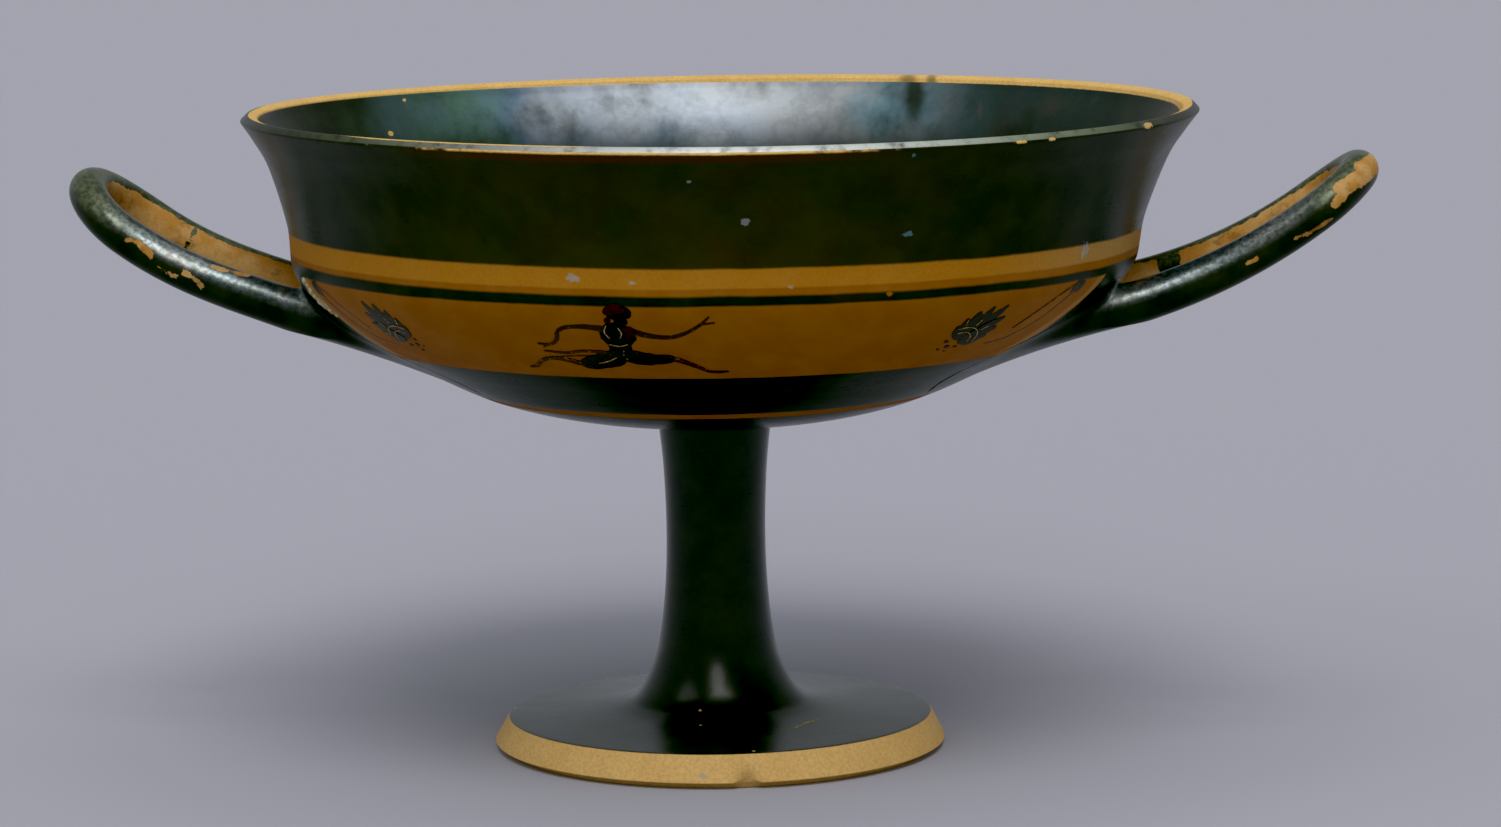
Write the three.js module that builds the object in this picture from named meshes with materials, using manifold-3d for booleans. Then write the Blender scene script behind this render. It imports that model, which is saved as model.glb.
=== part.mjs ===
// A band cup: a Greek wine cup (kylix) of fired clay, thrown, luted together and fired as one piece.
// Millimetres, +Z up. The origin is at the middle of the foot, on the ground; the handles lie along X.
import * as THREE from 'three';
import { mergeVertices } from 'three/addons/utils/BufferGeometryUtils.js';
import Module from 'manifold-3d';

const wasm = await Module();
wasm.setup();

// Driving sizes
const HEIGHT = 142.3; // ground to the crest of the rim
const RIM_RADIUS = 104.9; // outermost arris of the rim
const RIM_BEVEL = 1.4; // the slope from that arris up to the crest
const RIM_BAND = 2.3; // width of the gentler slope inside the crest
const OFFSET_RADIUS = 93.3; // where the lip springs from the bowl
const OFFSET_HEIGHT = 112.5;
const BOWL_WALL = 3.6; // square to the surface
const LIP_WALL = 2.8; // the lip is thrown a little thinner
const FLOOR = 5.4; // clay between the stem and the bottom of the bowl
const FOOT_RADIUS = 50.2; // lower arris of the foot's slanting edge
const FOOT_TOP_RADIUS = 47.1; // upper arris of that edge
const FOOT_TOP = 7.2;
const FOOT_STEP = 1.5; // the edge stops this far above the ground
const RING_OUTER = 47.6; // the ring that the cup stands on
const RING_INNER = 41.5;
const STEM_TOP = 72.7;
const STEM_RADIUS = 12.5; // at its top, where it meets the bowl
const CONE_TOP = 52; // the hollow under the foot runs up inside the stem to here
const HANDLE_RADIUS = 4.2;
const HANDLE_START = 58; // inside the bowl, trimmed off there
const HANDLE_ROOT = 76; // where a limb comes out of the bowl
const ROOT_RISE = 0.1; // inside there it climbs again, so that its underside runs out into the bowl
const ROUND_STEPS = 64; // facets round the cup
const HANDLE_SIDES = 12;
const HANDLE_STEPS = 30;

// The cup is a little off the true: at each height, how far its axis has wandered along X, and how much
// a level ring there rises towards +X.
const WOBBLE = [
  { height: FOOT_STEP, aside: 0, tilt: 0 },
  { height: FOOT_TOP, aside: 0, tilt: 0.0056 },
  { height: 20, aside: -0.5, tilt: 0.002 },
  { height: STEM_TOP, aside: -0.6, tilt: 0.002 },
  { height: 80, aside: -1.6, tilt: 0.0034 },
  { height: HEIGHT, aside: 1.4, tilt: 0.0034 },
];
const RIM_WAVE = { height: 0.28, turned: 0.92 }; // the rim also rises and falls twice round

// Left and right differ a little, because each was pulled by hand: how far out the tip is, where its arch
// begins, half the distance between the limbs there, how much further out to its side a root stands, the
// height of the near root, how much higher the far root is, and the rise as a cubic.
const HANDLES = {
  right: {
    side: 1, tip: 140.7, arch: 130.5, spread: 15.6, splay: 8, root: 97.5, skew: 0.2,
    rise: [11.9, 10.2, 8.6],
  },
  left: {
    side: -1, tip: 139.4, arch: 128.5, spread: 16.6, splay: 8, root: 94.6, skew: -2.2,
    rise: [26.6, -25.9, 29.5],
  },
};

const toPoints = (pairs) => pairs.map(([radius, height]) => new THREE.Vector2(radius, height));

const smooth = (pairs, steps) => new THREE.SplineCurve(toPoints(pairs)).getPoints(steps);

// Outside of the foot and stem, from the foot's upper arris up: a low cone that sweeps into the stem.
function stemOutline(steps) {
  return smooth([
    [FOOT_TOP_RADIUS, FOOT_TOP],
    [34, 8.2],
    [22.6, 9.6],
    [17.8, 12.0],
    [13.9, 19.5],
    [12.3, 27],
    [11.25, 38],
    [11.0, 50],
    [11.5, 63],
    [STEM_RADIUS, STEM_TOP],
  ], steps);
}

// Outside of the bowl, from the stem to where the lip springs.
function bowlOutline(steps) {
  return smooth([
    [STEM_RADIUS, STEM_TOP],
    [20.5, 73.4],
    [36.7, 76],
    [50.4, 80],
    [65.2, 87],
    [75.3, 92.3],
    [83.5, 98],
    [89.7, 104],
    [92.6, 108.5],
    [OFFSET_RADIUS, OFFSET_HEIGHT],
  ], steps);
}

// Outside of the lip, a long concave flare up to the arris.
function lipOutline(steps) {
  return smooth([
    [OFFSET_RADIUS, OFFSET_HEIGHT],
    [94.3, 119],
    [98.5, 131],
    [102.1, 137],
    [RIM_RADIUS, HEIGHT - RIM_BEVEL],
  ], steps);
}

// The same outline moved inwards, square to itself, by a thickness that may change along it.
function inset(points, thickness) {
  return points.map((point, i) => {
    const before = points[Math.max(i - 1, 0)];
    const after = points[Math.min(i + 1, points.length - 1)];
    const along = after.clone().sub(before).normalize();
    const normal = new THREE.Vector2(-along.y, along.x);
    return point.clone().addScaledVector(normal, thickness(i / (points.length - 1)));
  });
}

function wobble(height) {
  const above = WOBBLE.findIndex((ring) => ring.height >= height);
  if (above < 1) return WOBBLE[above < 0 ? WOBBLE.length - 1 : 0];
  const [low, high] = [WOBBLE[above - 1], WOBBLE[above]];
  const part = (height - low.height) / (high.height - low.height);
  return {
    aside: THREE.MathUtils.lerp(low.aside, high.aside, part),
    tilt: THREE.MathUtils.lerp(low.tilt, high.tilt, part),
  };
}

// Turns an outline about Z and sets it off the true, as the potter left it.
function turn(outline) {
  const geometry = new THREE.LatheGeometry(outline, ROUND_STEPS);
  geometry.rotateX(Math.PI / 2);
  const place = geometry.getAttribute('position');
  for (let i = 0; i < place.count; i += 1) {
    const [x, y, z] = [place.getX(i), place.getY(i), place.getZ(i)];
    const { aside, tilt } = wobble(z);
    const wave = RIM_WAVE.height * THREE.MathUtils.smoothstep(z, OFFSET_HEIGHT, HEIGHT);
    place.setX(i, x + aside);
    place.setZ(i, z + tilt * x + wave * Math.cos(2 * Math.atan2(y, x) - RIM_WAVE.turned));
  }
  return geometry;
}

function bodyOutline() {
  const crest = new THREE.Vector2(RIM_RADIUS - RIM_BEVEL, HEIGHT);
  const bandFoot = new THREE.Vector2(crest.x - RIM_BAND, HEIGHT - 0.7);
  const hollow = smooth([[0, CONE_TOP], [3, CONE_TOP - 3], [5.2, 36], [7.4, 20], [13, 9.2], [26, 5.4]], 7);
  const underFoot = toPoints([
    [RING_INNER - 2, 3.2],
    [RING_INNER, 0],
    [RING_OUTER, 0],
    [RING_OUTER + 0.6, 1],
    [FOOT_RADIUS, FOOT_STEP],
  ]);
  const lipInside = inset(lipOutline(5), () => LIP_WALL).slice(1, -1).reverse();
  const bowlInside = inset(bowlOutline(9), (along) => THREE.MathUtils.lerp(FLOOR, BOWL_WALL, along))
    .slice(1).reverse();
  return [
    ...hollow,
    ...underFoot,
    ...stemOutline(15),
    ...bowlOutline(13).slice(1),
    ...lipOutline(7).slice(1),
    crest,
    bandFoot,
    ...lipInside,
    ...bowlInside,
    new THREE.Vector2(0, STEM_TOP + FLOOR),
  ];
}

// A lump that ends in the middle of the bowl's wall, used to trim whatever reaches inside it.
function coreOutline() {
  return [
    new THREE.Vector2(0, STEM_TOP + FLOOR / 2),
    ...inset([...bowlOutline(12).slice(1), ...lipOutline(4).slice(1)], () => BOWL_WALL / 2),
    new THREE.Vector2(0, HEIGHT + 2),
  ];
}

// The middle line of a handle: out along one limb, round the tip and back along the other, rising outwards.
class HandleCurve extends THREE.Curve {
  constructor(sizes) {
    super();
    this.sizes = sizes;
  }

  getPoint(t, target = new THREE.Vector3()) {
    const { side, tip, arch, spread, splay, root, skew, rise } = this.sizes;
    const straight = arch - HANDLE_START;
    const curved = (Math.PI / 2) * Math.hypot(tip - arch, spread) / Math.SQRT2;
    const walked = (1 - Math.abs(2 * t - 1)) * (straight + curved);
    const angle = Math.max(0, walked - straight) / curved * (Math.PI / 2);
    const out = Math.min(HANDLE_START + walked, arch) + (tip - arch) * Math.sin(angle);
    const part = Math.max(0, out - HANDLE_ROOT) / (tip - HANDLE_ROOT);
    const inwards = (1 - part) ** 2;
    const across = (spread * Math.cos(angle) + splay * inwards) * Math.sign(t - 0.5);
    const higher = t > 0.5 ? skew * inwards : 0;
    const level = root + higher + Math.max(0, HANDLE_ROOT - out) * ROOT_RISE;
    const height = rise.reduce((sum, term, power) => sum + term * part ** (power + 1), level);
    return target.set(side * out, across, height);
  }
}

// The limbs thicken towards their roots, where the clay was smoothed onto the bowl.
function swell(geometry, curve) {
  const samples = curve.getPoints(240);
  const place = geometry.getAttribute('position');
  for (let i = 0; i < place.count; i += 1) {
    const vertex = new THREE.Vector3().fromBufferAttribute(place, i);
    const middle = samples.reduce((best, sample) => (
      sample.distanceToSquared(vertex) < best.distanceToSquared(vertex) ? sample : best));
    const out = Math.max(0, (Math.abs(middle.x) - HANDLE_ROOT) / (curve.sizes.tip - HANDLE_ROOT));
    const thicker = 1 + 0.12 * (1 - out) + 0.22 * Math.exp(-out / 0.1);
    vertex.sub(middle).multiplyScalar(thicker).add(middle);
    place.setXYZ(i, vertex.x, vertex.y, vertex.z);
  }
  return geometry;
}

function handle(sizes) {
  const curve = new HandleCurve(sizes);
  const section = new THREE.Shape().absarc(0, 0, HANDLE_RADIUS, 0, 2 * Math.PI, false);
  const geometry = new THREE.ExtrudeGeometry(section, {
    steps: HANDLE_STEPS,
    curveSegments: HANDLE_SIDES / 2,
    extrudePath: curve,
    bevelEnabled: false,
  });
  return swell(geometry, curve);
}

function toManifold(geometry) {
  const bare = geometry.clone();
  bare.deleteAttribute('normal');
  bare.deleteAttribute('uv');
  const merged = mergeVertices(bare, 1e-4);
  return new wasm.Manifold(new wasm.Mesh({
    numProp: 3,
    vertProperties: new Float32Array(merged.getAttribute('position').array),
    triVerts: new Uint32Array(merged.index.array),
  }));
}

function toGeometry(solid) {
  const { vertProperties, triVerts } = solid.getMesh();
  const geometry = new THREE.BufferGeometry();
  geometry.setAttribute('position', new THREE.BufferAttribute(vertProperties, 3));
  geometry.setIndex(new THREE.BufferAttribute(triVerts, 1));
  return geometry;
}

const body = toManifold(turn(bodyOutline()));
const core = toManifold(turn(coreOutline()));
const cup = Object.values(HANDLES).reduce(
  (solid, sizes) => solid.add(toManifold(handle(sizes)).subtract(core)),
  body,
);

const clay = new THREE.MeshStandardMaterial({ color: 0x1c211b, roughness: 0.3, metalness: 0 });
const kylix = new THREE.Mesh(toGeometry(cup), clay);
kylix.name = 'kylix_cup';

const group = new THREE.Group();
group.add(kylix);
export default group;
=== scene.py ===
import math

import bmesh
import bpy
import numpy as np
from mathutils import Matrix, Vector, noise


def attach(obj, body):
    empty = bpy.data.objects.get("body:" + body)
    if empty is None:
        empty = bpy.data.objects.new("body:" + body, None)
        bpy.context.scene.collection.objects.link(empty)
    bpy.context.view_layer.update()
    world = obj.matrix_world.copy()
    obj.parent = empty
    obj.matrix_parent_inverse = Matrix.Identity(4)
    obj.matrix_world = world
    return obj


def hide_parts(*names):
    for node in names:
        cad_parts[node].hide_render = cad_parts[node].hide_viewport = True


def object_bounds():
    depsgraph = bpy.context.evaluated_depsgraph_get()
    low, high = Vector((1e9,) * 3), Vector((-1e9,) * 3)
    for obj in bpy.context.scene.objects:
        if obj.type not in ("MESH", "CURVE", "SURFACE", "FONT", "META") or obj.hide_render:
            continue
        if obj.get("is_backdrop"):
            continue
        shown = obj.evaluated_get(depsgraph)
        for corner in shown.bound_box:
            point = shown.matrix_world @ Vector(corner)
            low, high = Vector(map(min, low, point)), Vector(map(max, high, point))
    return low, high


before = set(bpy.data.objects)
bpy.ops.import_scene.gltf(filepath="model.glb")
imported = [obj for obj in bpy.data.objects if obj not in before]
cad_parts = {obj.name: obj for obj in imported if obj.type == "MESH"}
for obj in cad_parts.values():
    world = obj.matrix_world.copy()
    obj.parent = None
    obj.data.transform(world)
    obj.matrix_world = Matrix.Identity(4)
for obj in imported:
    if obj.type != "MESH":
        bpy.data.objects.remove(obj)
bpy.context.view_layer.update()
MM = 0.001

# The thrown cup: foot, stem, bowl and lip in fired orange clay, one turned shell that is hollow under the
# foot and up inside the stem. It sags and leans a little, because it was thrown and luted by hand.
HEIGHT, RIM, RIM_BEVEL, RIM_BAND = 142.3, 104.9, 1.4, 2.3
RIM_ARRIS, FOOT_ARRIS, FOOT_TOP = (RIM, HEIGHT - RIM_BEVEL), (50.2, 1.5), (47.1, 7.2)
OFFSET = (93.3, 112.5)  # where the lip springs from the bowl
STEM_TOP, FLOOR, BOWL_WALL, LIP_WALL = 72.7, 5.4, 3.6, 2.8
HOLLOW = [(0, 52), (3, 49), (5.2, 36), (7.4, 20), (13, 9.2), (26, 5.4)]
RESTING = [(39.5, 3.2), (41.5, 0), (47.6, 0), (48.2, 1), FOOT_ARRIS, FOOT_TOP]
STEM = [FOOT_TOP, (34, 8.2), (22.6, 9.6), (17.8, 12), (13.9, 19.5), (12.3, 27), (11.25, 38), (11, 50),
        (11.5, 63), (12.5, STEM_TOP)]
BOWL = [(12.5, STEM_TOP), (20.5, 73.4), (36.7, 76), (50.4, 80), (65.2, 87), (75.3, 92.3), (83.5, 98),
        (89.7, 104), (92.6, 108.5), OFFSET]
LIP = [OFFSET, (94.3, 119), (98.5, 131), (102.1, 137), RIM_ARRIS]
# At each height, how far the axis has wandered to the right and how much a level ring rises that way.
LEAN = [(1.5, 0, 0), (7.2, 0, 0.0056), (20, -0.5, 0.002), (STEM_TOP, -0.6, 0.002), (80, -1.6, 0.0034),
        (HEIGHT, 1.4, 0.0034)]
RIM_WAVE, WAVE_TURNED = 0.28, 0.92  # the rim also rises and falls twice round
ROUND = 300  # facets round the cup


def spline(points, steps):
    """A smooth line through the points, in this many steps."""
    points = np.array(points, float)
    place = np.linspace(0, len(points) - 1, steps + 1)
    i = np.minimum(place.astype(int), len(points) - 2)
    w = (place - i)[:, None]
    a, b, c = points[np.maximum(i - 1, 0)], points[i], points[i + 1]
    d = points[np.minimum(i + 2, len(points) - 1)]
    u, v = (c - a) / 2, (d - b) / 2
    return (2 * b - 2 * c + u + v) * w ** 3 + (3 * c - 3 * b - 2 * u - v) * w ** 2 + u * w + b


def inset(points, thickness):
    """The same line moved inwards by a wall's thickness, square to itself."""
    along = np.gradient(points, axis=0)
    along /= np.linalg.norm(along, axis=1)[:, None]
    return points + np.stack([-along[:, 1], along[:, 0]], 1) * np.reshape(thickness, (-1, 1))


def eased(points, by=0.25):
    """Corners rubbed round, as a sponge leaves them."""
    soft = [points[0]]
    for before, corner, after in zip(points, points[1:], points[2:]):
        back, on = before - corner, after - corner
        back, on = back / np.linalg.norm(back), on / np.linalg.norm(on)
        if back @ on < -0.9:
            soft.append(corner)
            continue
        one, two = corner + back * by, corner + on * by
        soft += [one, corner + (back + on) * by * 0.24, two]
    return np.array(soft + [points[-1]])


def lean(height):
    heights, aside, tilt = zip(*LEAN)
    return np.interp(height, heights, aside), np.interp(height, heights, tilt)


def set_off_true(x, y, z):
    """Where a point of a true cup lies on this one."""
    aside, tilt = lean(z)
    up = np.clip((z - OFFSET[1]) / (HEIGHT - OFFSET[1]), 0, 1)
    wave = RIM_WAVE * up * up * (3 - 2 * up) * np.cos(2 * np.arctan2(y, x) - WAVE_TURNED)
    return x + aside, y, z + tilt * x + wave


bowl_out, lip_out = spline(BOWL, 54), spline(LIP, 26)
crest = [(RIM - RIM_BEVEL, HEIGHT), (RIM - RIM_BEVEL - RIM_BAND, HEIGHT - 0.7)]
lip_in = inset(lip_out, LIP_WALL)[1:-1][::-1]
lip_in = lip_in[lip_in[:, 1] < 139.8]  # the rest would lie behind the band on the crest
bowl_in = inset(bowl_out, np.linspace(FLOOR, BOWL_WALL, len(bowl_out)))[1:][::-1]
profile = eased(np.vstack([
    spline(HOLLOW, 20), RESTING, spline(STEM, 60)[1:], bowl_out[1:], lip_out[1:], crest, lip_in, bowl_in,
    [(0, STEM_TOP + FLOOR)]]))
run = np.r_[0, np.cumsum(np.linalg.norm(np.diff(profile, axis=0), axis=1))]
outside = np.vstack([spline(STEM, 60), bowl_out[1:], lip_out[1:]])
inside = np.vstack([lip_in, bowl_in])[::-1]


def run_at(radius, height):
    """How far along the profile this point of it lies, in millimetres."""
    start, step = profile[:-1], np.diff(profile, axis=0)
    part = np.clip(((np.array([radius, height]) - start) * step).sum(1) / (step ** 2).sum(1), 0, 1)
    gap = np.linalg.norm(start + part[:, None] * step - [radius, height], axis=1)
    k = int(np.argmin(gap))
    return float(run[k] + part[k] * (run[k + 1] - run[k]))


def run_out(height):
    return run_at(np.interp(height, outside[:, 1], outside[:, 0]), height)


def run_in(height):
    return run_at(np.interp(height, inside[:, 1], inside[:, 0]), height)


mesh = bmesh.new()
run_layer = mesh.verts.layers.float.new("run")
spots = []
for (radius, height), far in zip(profile, run):
    spot = mesh.verts.new((0, radius * MM, height * MM))
    spot[run_layer] = far
    spots.append(spot)
for one, two in zip(spots, spots[1:]):
    mesh.edges.new((one, two))
bmesh.ops.spin(mesh, geom=mesh.verts[:] + mesh.edges[:], axis=(0, 0, 1), cent=(0, 0, 0), steps=ROUND,
               angle=2 * math.pi, use_merge=True)
bmesh.ops.remove_doubles(mesh, verts=mesh.verts[:], dist=1e-7)
bmesh.ops.recalc_face_normals(mesh, faces=mesh.faces[:])
unwrapped = mesh.loops.layers.uv.new("OFBake")
# How far along the profile the foot, the stem, the bowl and the rim end, and where on the map that is.
MAP_ROWS = ([0, run_at(*FOOT_ARRIS), run_out(STEM_TOP), run_out(RIM_ARRIS[1]), run_in(141), run[-1]],
            [0.002, 0.16, 0.32, 0.72, 0.76, 0.998])
for face in mesh.faces:
    middle = face.calc_center_median()
    facing = math.atan2(-middle.x, middle.y) % (2 * math.pi)
    for loop in face.loops:
        turned = math.atan2(-loop.vert.co.x, loop.vert.co.y) if loop.vert.co.xy.length > 1e-6 else facing
        turned = facing + (turned - facing + math.pi) % (2 * math.pi) - math.pi
        loop[unwrapped].uv = (0.002 + 0.996 * turned / (2 * math.pi),
                              float(np.interp(loop.vert[run_layer], *MAP_ROWS)))
CHIPS = [  # which arris, azimuth and half width in degrees, and depth
    (FOOT_ARRIS, -78, 3.4, 1.4), (FOOT_TOP, 176, 2.2, 0.5), (RIM_ARRIS, -26.4, 1.7, 0.6),
    (RIM_ARRIS, -49.3, 1.3, 0.4), (RIM_ARRIS, -44.7, 0.9, 0.4), (RIM_ARRIS, -86, 2.5, 0.25),
    (RIM_ARRIS, -104, 3, 0.2),
]
CHIP_REACH = 0.8
for spot in mesh.verts:
    radius, height = spot.co.xy.length / MM, spot.co.z / MM
    azimuth = math.degrees(math.atan2(spot.co.y, spot.co.x))
    for (at_radius, at_height), middle, half, deep in CHIPS:
        across = abs((azimuth - middle + 180) % 360 - 180) / half
        near = max(0, 1 - math.hypot(radius - at_radius, height - at_height) / CHIP_REACH)
        if across < 1 and near > 0:
            gone = deep * near * (1 - across ** 3) * (0.75 + 0.5 * noise.noise(spot.co * 900))
            spot.co.xy *= 1 - gone / radius
            spot.co.z -= math.copysign(0.6 * gone, at_height - 5) * MM
for spot in mesh.verts:
    spot.co = Vector(set_off_true(*(spot.co / MM))) * MM
body_mesh = bpy.data.meshes.new("cup_body")
mesh.to_mesh(body_mesh)
mesh.free()
body_mesh.shade_smooth()
cup_body = bpy.data.objects.new("cup_body", body_mesh)
bpy.context.collection.objects.link(cup_body)
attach(cup_body, "root")
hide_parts("kylix_cup")


# The finish of the fired cup: orange clay, rubbed smooth, under a thin glossy slip that fired black. The
# slip turns olive and brown in places, and carries a silvery film, partly painted reflection; where it has
# flaked off, clay shows.
class Wire:
    """A socket whose sums and products add the nodes that work them out."""

    def __init__(self, finish, socket):
        self.finish, self.socket = finish, socket

    def worked(self, operation, *terms):
        return self.finish.node("ShaderNodeMath", {"operation": operation}, dict(enumerate(terms)))

    def __add__(self, other):
        return self.worked("ADD", self, other)

    def __sub__(self, other):
        return self.worked("SUBTRACT", self, other)

    def __rsub__(self, other):
        return self.worked("SUBTRACT", other, self)

    def __mul__(self, other):
        return self.worked("MULTIPLY", self, other)

    __radd__, __rmul__ = __add__, __mul__

    def least(self, other):
        return self.worked("MINIMUM", self, other)

    def most(self, other):
        return self.worked("MAXIMUM", self, other)

    def size(self):
        return self.worked("ABSOLUTE", self)

    def power(self, other):
        return self.worked("POWER", self, other)

    def rise(self, start, end):
        """0 below start and 1 above end, smooth between them; falls instead where start is the greater."""
        return self.finish.node("ShaderNodeMapRange", {"interpolation_type": "SMOOTHSTEP"},
                                {0: self, 1: start, 2: end})


class Finish:
    """A material being made. Its patterns lie on the place of a point in the cup, in metres."""

    def __init__(self, name):
        self.material = bpy.data.materials.new(name)
        self.material.use_nodes = True
        self.tree = self.material.node_tree
        self.tree.nodes.clear()
        self.place = self.node("ShaderNodeTexCoord", {}, {}, 3)

    def node(self, kind, settings=None, sockets=None, out=0):
        """A node with these settings and values or wires in its sockets, as the wire that comes out of it."""
        made = self.tree.nodes.new(kind)
        for key, value in (settings or {}).items():
            if key == "stops":
                stops = made.color_ramp.elements
                while len(stops) < len(value):
                    stops.new(0.5)
                for stop, (place, colour) in zip(stops, value):
                    stop.position, stop.color = place, (*colour, 1)
            else:
                setattr(made, key, value)
        for key, value in (sockets or {}).items():
            if isinstance(value, Wire):
                self.tree.links.new(value.socket, made.inputs[key])
            else:
                made.inputs[key].default_value = value
        return Wire(self, made.outputs[out])

    def mix(self, part, one, two):
        """Colour one where part is 0 and colour two where it is 1."""
        one, two = ((*c, 1) if isinstance(c, tuple) else c for c in (one, two))
        return self.node("ShaderNodeMix", {"data_type": "RGBA"}, {0: part, 6: one, 7: two}, 2)

    def noise(self, size, detail=3.0, roughness=0.5, stretch=None):
        """Noise between 0 and 1 about 0.5, whose features are about this many millimetres across."""
        where = self.place
        if stretch:
            where = self.node("ShaderNodeMapping", {}, {"Vector": where, "Scale": stretch})
        return self.node("ShaderNodeTexNoise", {}, {
            "Vector": where, "Scale": 1000 / size, "Detail": detail, "Roughness": roughness})

    def attribute(self, name):
        return self.node("ShaderNodeAttribute", {"attribute_name": name}, {}, 2)

    def blob(self, centre, size, ragged=0.0, soft=0.15):
        """1 inside an ellipsoid of these half sizes in millimetres and 0 outside it, with a ragged edge."""
        moved = self.node("ShaderNodeMapping", {"vector_type": "TEXTURE"}, {
            "Vector": self.place, "Location": [c * MM for c in centre], "Scale": [s * MM for s in size]})
        far = self.node("ShaderNodeVectorMath", {"operation": "LENGTH"}, {0: moved}, 1)
        return (far + ragged).rise(1 + soft, 1 - soft)

    def blobs(self, places, ragged, soft=0.15):
        """1 inside any of these ellipsoids, each given by its middle and half sizes."""
        whole = self.blob(*places[0], ragged, soft)
        for middle, half in places[1:]:
            whole = whole.most(self.blob(middle, half, ragged, soft))
        return whole

    def done(self, surface):
        out = self.tree.nodes.new("ShaderNodeOutputMaterial")
        self.tree.links.new(surface.socket, out.inputs["Surface"])
        return self.material


CLAY, CLAY_PALE = (0.315, 0.115, 0.0125), (0.60, 0.37, 0.14)
SLIP, SLIP_OLIVE, SLIP_BROWN = (0.0165, 0.0175, 0.008), (0.046, 0.052, 0.02), (0.085, 0.032, 0.006)


def fired(finish, bare, clay, slip, metal, blur, gloss, coat=0):
    """Clay where bare is 1 and slip elsewhere, which is metallic where metal is 1 and blurred by blur."""
    speck = finish.noise(0.7, 2)
    cloud = finish.noise(9, 4, 0.6)
    streak = finish.noise(2.2, 3, 0.6, (0.14, 0.14, 1))
    clay = finish.mix(speck.rise(0.35, 0.7) * 0.22, clay, (0.30, 0.11, 0.012))
    clay = finish.mix(cloud.rise(0.35, 0.7) * 0.18, clay, (0.52, 0.26, 0.05))
    clay_skin = finish.node("ShaderNodeBsdfPrincipled", {}, {
        "Base Color": clay, "Roughness": 0.62 + 0.12 * streak, "Specular IOR Level": 0.22,
        "Normal": finish.node("ShaderNodeBump", {}, {
            "Height": speck * 0.6 + streak, "Distance": 0.00004, "Strength": 0.6})})
    slip_skin = finish.node("ShaderNodeBsdfPrincipled", {}, {
        "Base Color": slip, "Metallic": metal, "Specular IOR Level": gloss,
        "Coat Weight": coat, "Coat Roughness": 0.22,
        "Roughness": 0.2 + 0.1 * cloud + 0.08 * streak + blur,
        "Normal": finish.node("ShaderNodeBump", {}, {
            "Height": speck * 0.5 + streak + cloud * 2 + bare * -1.5,
            "Distance": 0.00006, "Strength": 0.6})})
    return finish.done(finish.node("ShaderNodeMixShader", {}, {0: bare, 1: slip_skin, 2: clay_skin}))


BANDS = [(116.6, 111.02), (108.85, 91.93), (81.44, 80.1)]  # clay left bare between these heights, outside
body_finish = Finish("clay_and_slip")
along = body_finish.attribute("run")
x, y, z = (body_finish.node("ShaderNodeSeparateXYZ", {}, {0: body_finish.place}, k) * 1000
           for k in range(3))
hand = (body_finish.noise(14, 2) - 0.5) * 0.5 + (body_finish.noise(1.2, 2) - 0.5) * 0.12
fine = (body_finish.noise(1.6, 4, 0.7) - 0.5) * 0.9  # the edge of a worn place
crumbs = (body_finish.noise(0.8, 4, 0.7) - 0.5) * 3  # the edge of a flake
drawn = along + x * 0.0018 + hand


def between(low, high, along=drawn, soft=0.12):
    """1 between two places along the profile and 0 outside them."""
    return along.rise(low - soft, low + soft) * along.rise(high + soft, high - soft)


bare = between(run_out(BANDS[0][1]), run_out(BANDS[0][0]), along + x * 0.0055 + hand, 0.35)
for top, bottom in BANDS[1:]:
    bare = bare.most(between(run_out(bottom), run_out(top), drawn, 0.3))
# Slip was drawn round the handle roots, out to an edge that bends in above them, but for a panel between
# the two limbs.
near_handle = x.size().rise(50, 54) * along.rise(run_out(121), run_out(120))
at_root = near_handle * (z - 110.3).rise(0.15, -0.15) * (z - 91.5).rise(0, 0.4)
bend = (z - 98).most(0)
beside = y.size() + x * 0.02 + (body_finish.noise(5, 3) - 0.5) * 1.6 + bend * bend * 0.03
collar = beside.rise(38.9, 38.5) * at_root
panel = beside.rise(16.4, 16.0) * (z - 96.5).rise(0, 0.4) * (z - 107.5).rise(0.4, 0) * at_root
bare = (bare * (1 - collar)).most(panel)
# The rim: the band inside its crest was left bare, and its arris is worn through in front.
arris_run = run_at(*RIM_ARRIS)
crest_run, band_run = run_at(*crest[0]), run_at(*crest[1])
wide_there = ((x + 42).size().rise(34, 20) * y.rise(0, -20)).most(y.rise(0, 20))
rim_band = between(crest_run + 0.35, band_run + 1.6, along + wide_there * 0.65 + fine * 0.3)
rim_band = rim_band * (band_run + 1.0 - along + x * 0.006).rise(-0.15, 0.15)
worn_front = y.rise(-60, -92) * (1 - (x + 5).size().rise(22, 62))
arris_worn = between(arris_run - 0.35, arris_run + 0.3, along + fine * 0.8)
arris_worn = arris_worn * (worn_front * 1.25 + (body_finish.noise(4, 4, 0.6) - 0.5) * 2.2).rise(0.35, 0.95)
bare = bare.most(rim_band).most(arris_worn)
# The foot's edge, its resting ring and the cone up the stem were left bare.
bare = bare.most(between(run_at(41, 0.5), run_at(*FOOT_TOP), along + fine * 0.25))
bare = bare.most(between(0, run_at(7.4, 20)))
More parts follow.
